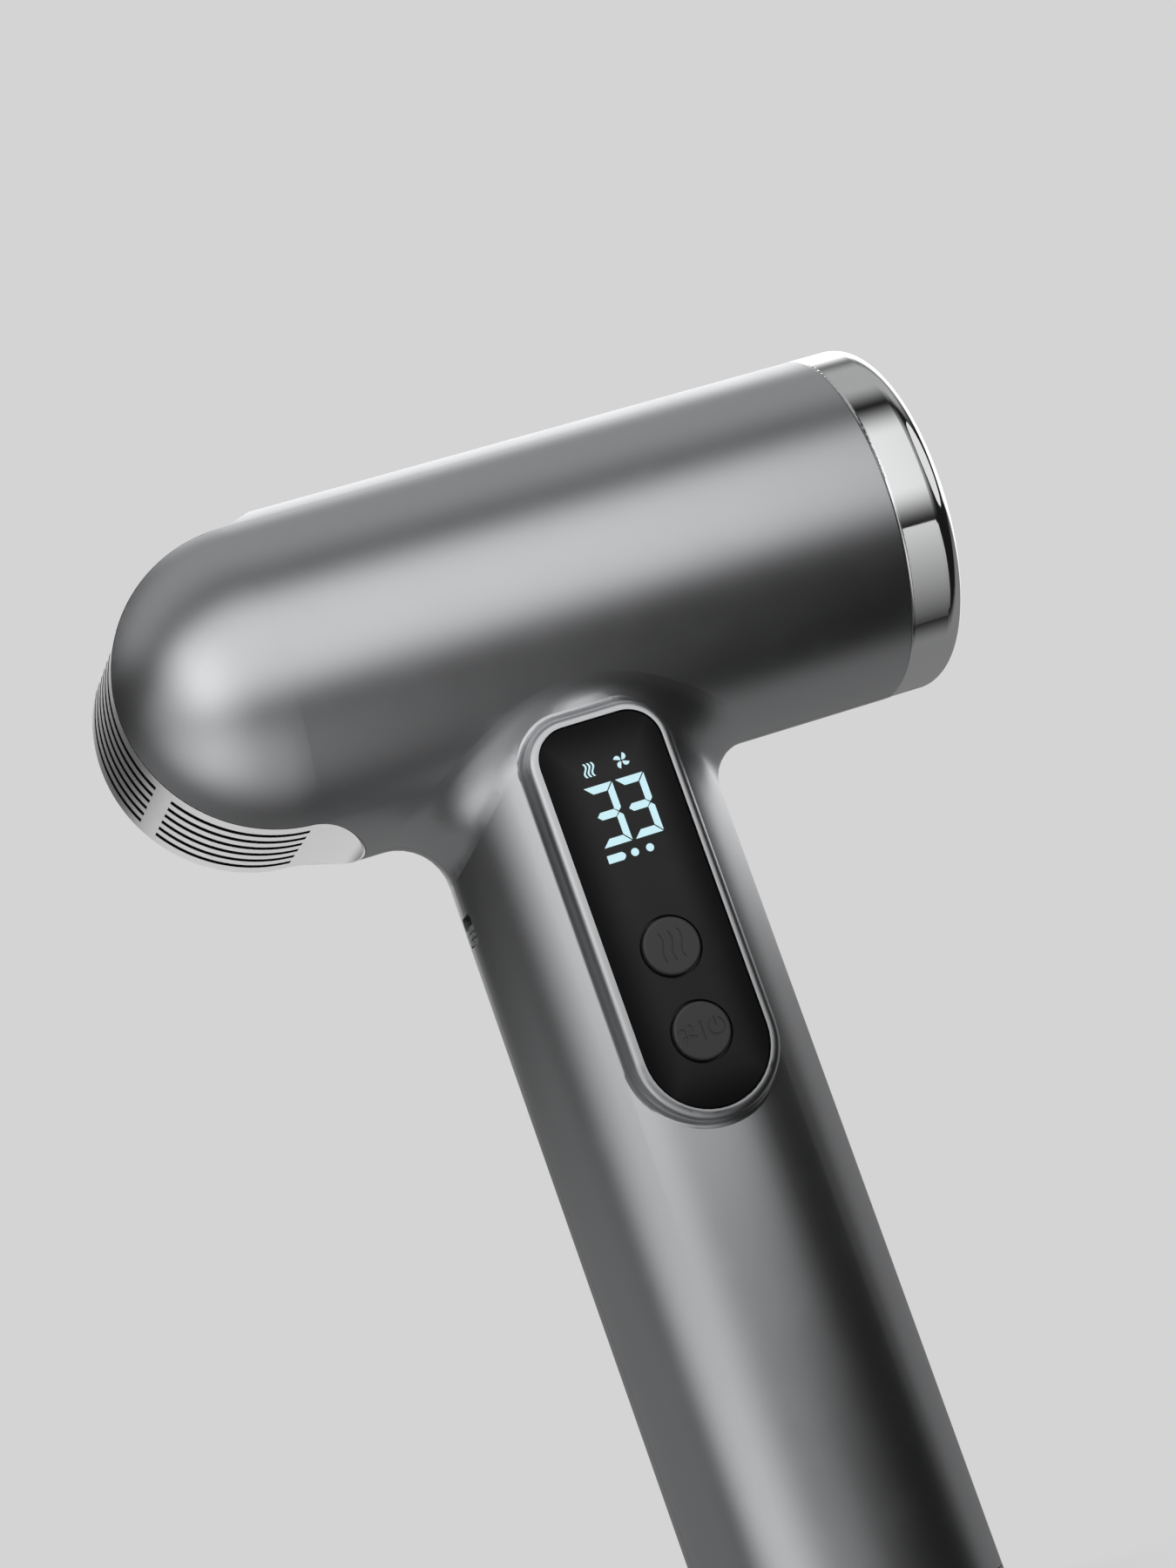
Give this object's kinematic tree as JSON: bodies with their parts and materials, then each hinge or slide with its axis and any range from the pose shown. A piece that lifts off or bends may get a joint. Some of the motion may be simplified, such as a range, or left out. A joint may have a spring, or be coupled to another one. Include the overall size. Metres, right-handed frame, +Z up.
{
  "type": "hair dryer",
  "caption": "Compact hair dryer: round barrel with domed rear intake band, chrome outlet ring, round handle with black display panel, push buttons and slide key.",
  "frame": {"origin": "centre of the handle's lower end, where the cord inlet opens", "axes": "+X along the barrel towards the air outlet, +Z up the handle to the barrel, -Y out of the control panel"},
  "size_m": [0.1267, 0.054, 0.187],
  "materials": {
    "housing_grey": "satin metallic lacquer, gunmetal grey",
    "key_grey": "satin grey",
    "silver": "satin silver plating",
    "filter_mesh": "fine dark woven mesh",
    "chrome": "polished chrome",
    "magnet": "nickel-plated magnet",
    "black_heatproof": "matt black heat-resistant moulding",
    "emitter": "ivory insulator with a steel needle",
    "duct_nylon": "dark glass-filled nylon",
    "mica": "layered mica",
    "cast_aluminium": "machined aluminium",
    "bearing_steel": "ground steel",
    "lamination_steel": "laminated electrical steel",
    "copper_wire": "enamelled copper wire",
    "soft_rubber": "soft black rubber",
    "impeller_aluminium": "milled aluminium",
    "circuit_board": "green solder mask",
    "black_components": "black moulded component",
    "heater_wire": "oxidised resistance wire",
    "tinned_steel": "bright zinc or tin plate",
    "glass_bead": "glass-coated bead",
    "display_light": "lit pale cyan light guide",
    "panel_black": "black satin-gloss window",
    "light_box": "white reflector moulding",
    "button_black": "fine matt black",
    "capacitor_sleeve": "dark blue sleeve",
    "filter_yellow": "yellow film capacitor case",
    "terminal_nylon": "natural nylon",
    "lead_black": "silicone-insulated lead",
    "lead_red": "silicone-insulated lead"
  },
  "bodies": {
    "root": {"air_duct": "duct_nylon", "board_posts": "bearing_steel", "board_tray": "duct_nylon", "button_guide": "black_components", "button_switches": "black_components", "capacitor": "capacitor_sleeve", "control_board": "circuit_board", "display_block": "light_box", "display_board": "circuit_board", "display_segments": "display_light", "dust_filter": "filter_mesh", "end_cap": "housing_grey", "front_bearing": "bearing_steel", "heat_shield": "mica", "heat_sink": "impeller_aluminium", "heater_coils": "heater_wire", "heater_frame": "mica", "heater_leads": "lead_red", "housing_screws": "tinned_steel", "intake_grille": "silver", "ion_emitter": "emitter", "ion_module": "black_components", "left_housing": "housing_grey", "magnet_ring": "magnet", "mains_filter": "filter_yellow", "motor_board": "circuit_board", "motor_driver_chips": "black_components", "motor_leads": "lead_black", "motor_mount": "soft_rubber", "motor_shroud": "cast_aluminium", "outlet_grille": "black_heatproof", "outlet_ring": "chrome", "panel_cover": "panel_black", "rear_bearing": "bearing_steel", "right_housing": "housing_grey", "screw_plugs": "housing_grey", "slide_switch": "black_components", "stator_core": "lamination_steel", "stator_windings": "copper_wire", "terminal_block": "terminal_nylon", "thermal_cutout": "tinned_steel", "thermal_fuse": "tinned_steel", "thermistor": "glass_bead"},
    "rotor": {"motor_shaft": "bearing_steel", "rotor_magnet": "magnet", "impeller": "impeller_aluminium"},
    "heat_key": {"heat_button": "button_black"},
    "power_key": {"power_button": "button_black"},
    "side_key": {"slide_key": "key_grey"}
  },
  "joints": [
    {"name": "motor_spin", "type": "hinge", "parent": "root", "child": "rotor", "pos_m": [0, 0, 0.16], "axis": [1, 0, 0], "continuous": true},
    {"name": "heat_press", "type": "slide", "parent": "root", "child": "heat_key", "axis": [0, 1, 0], "range_m": [0, 0.0006], "stiffness_N_per_m": 800, "springref_m": -0.001},
    {"name": "power_press", "type": "slide", "parent": "root", "child": "power_key", "axis": [0, 1, 0], "range_m": [0, 0.0006], "stiffness_N_per_m": 800, "springref_m": -0.001},
    {"name": "side_slide", "type": "slide", "parent": "root", "child": "side_key", "axis": [0, 0, 1], "range_m": [0, 0.0013]}
  ]
}
